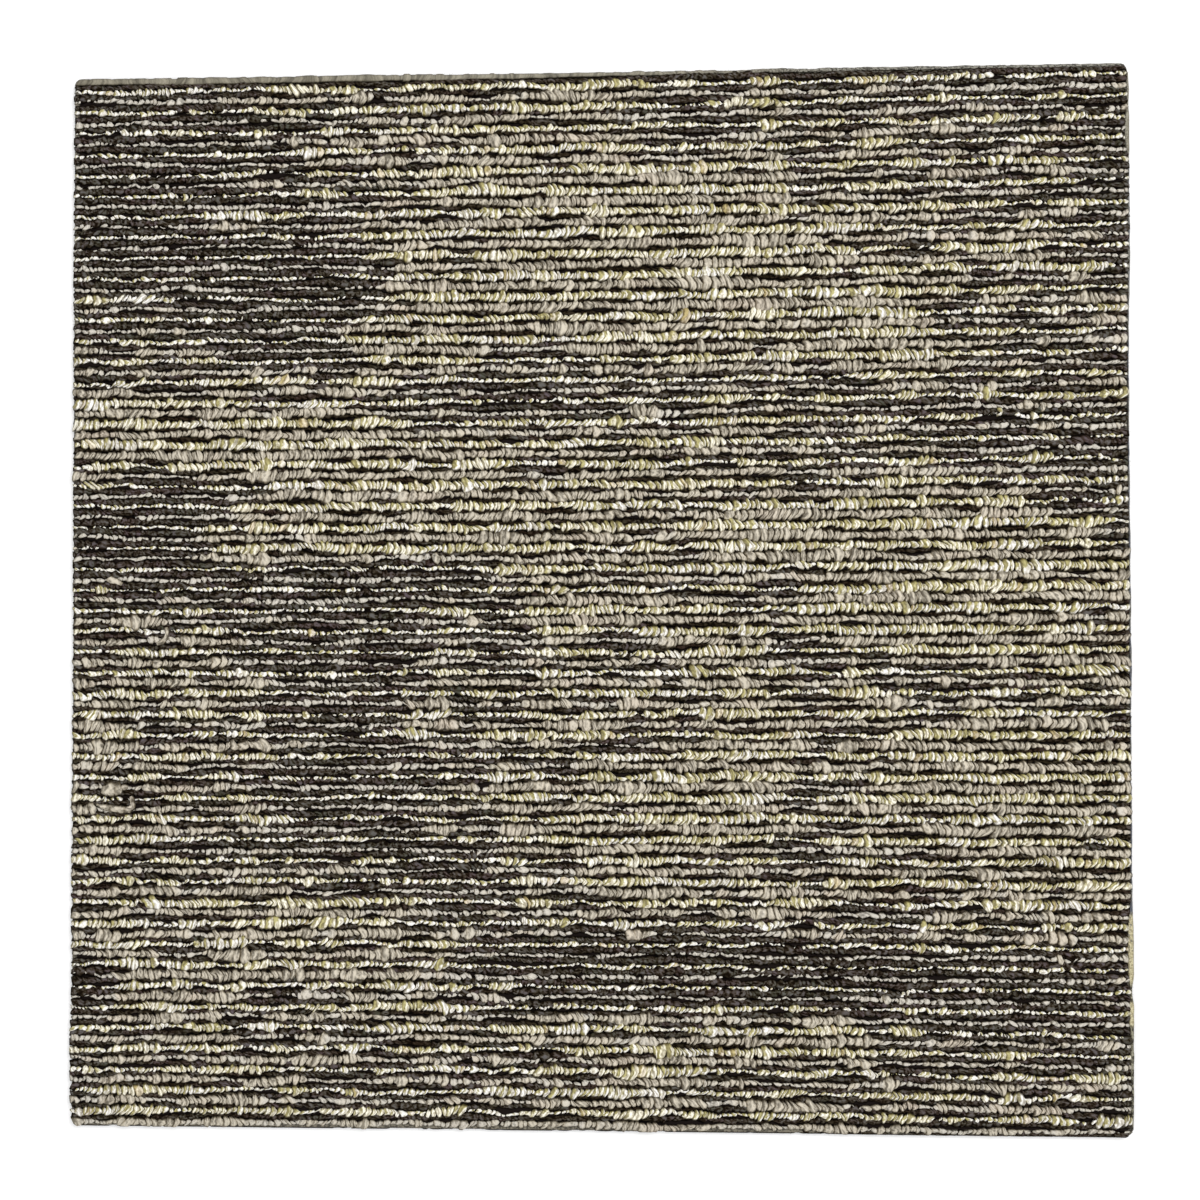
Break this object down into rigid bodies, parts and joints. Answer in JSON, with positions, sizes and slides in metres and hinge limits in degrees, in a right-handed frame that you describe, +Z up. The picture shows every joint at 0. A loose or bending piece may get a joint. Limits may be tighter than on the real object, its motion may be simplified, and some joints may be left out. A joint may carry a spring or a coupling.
{
  "type": "carpet tile",
  "caption": "Square multi-level loop pile carpet tile with alternating rows of charcoal and light yarn, bonded on a heavy moulded backing that lies flat and butts against its neighbours.",
  "frame": {"origin": "middle of the underside of the backing, on the floor", "axes": "+X along the rows of loops, +Y across the rows, +Z up out of the pile"},
  "size_m": [0.5, 0.5, 0.0065],
  "materials": {
    "backing": "matt moulded, dark charcoal grey",
    "pile": "tufted loop pile, charcoal, beige and cream yarns in turn",
    "charcoal_yarn": "matt bulked yarn, charcoal with greenish and brownish plies",
    "beige_yarn": "matt bulked yarn, warm beige",
    "cream_yarn": "lustrous twisted yarn, a white ply and a yellow-olive ply"
  },
  "bodies": {
    "root": {"backing": "backing", "pile": "pile"}
  },
  "joints": []
}
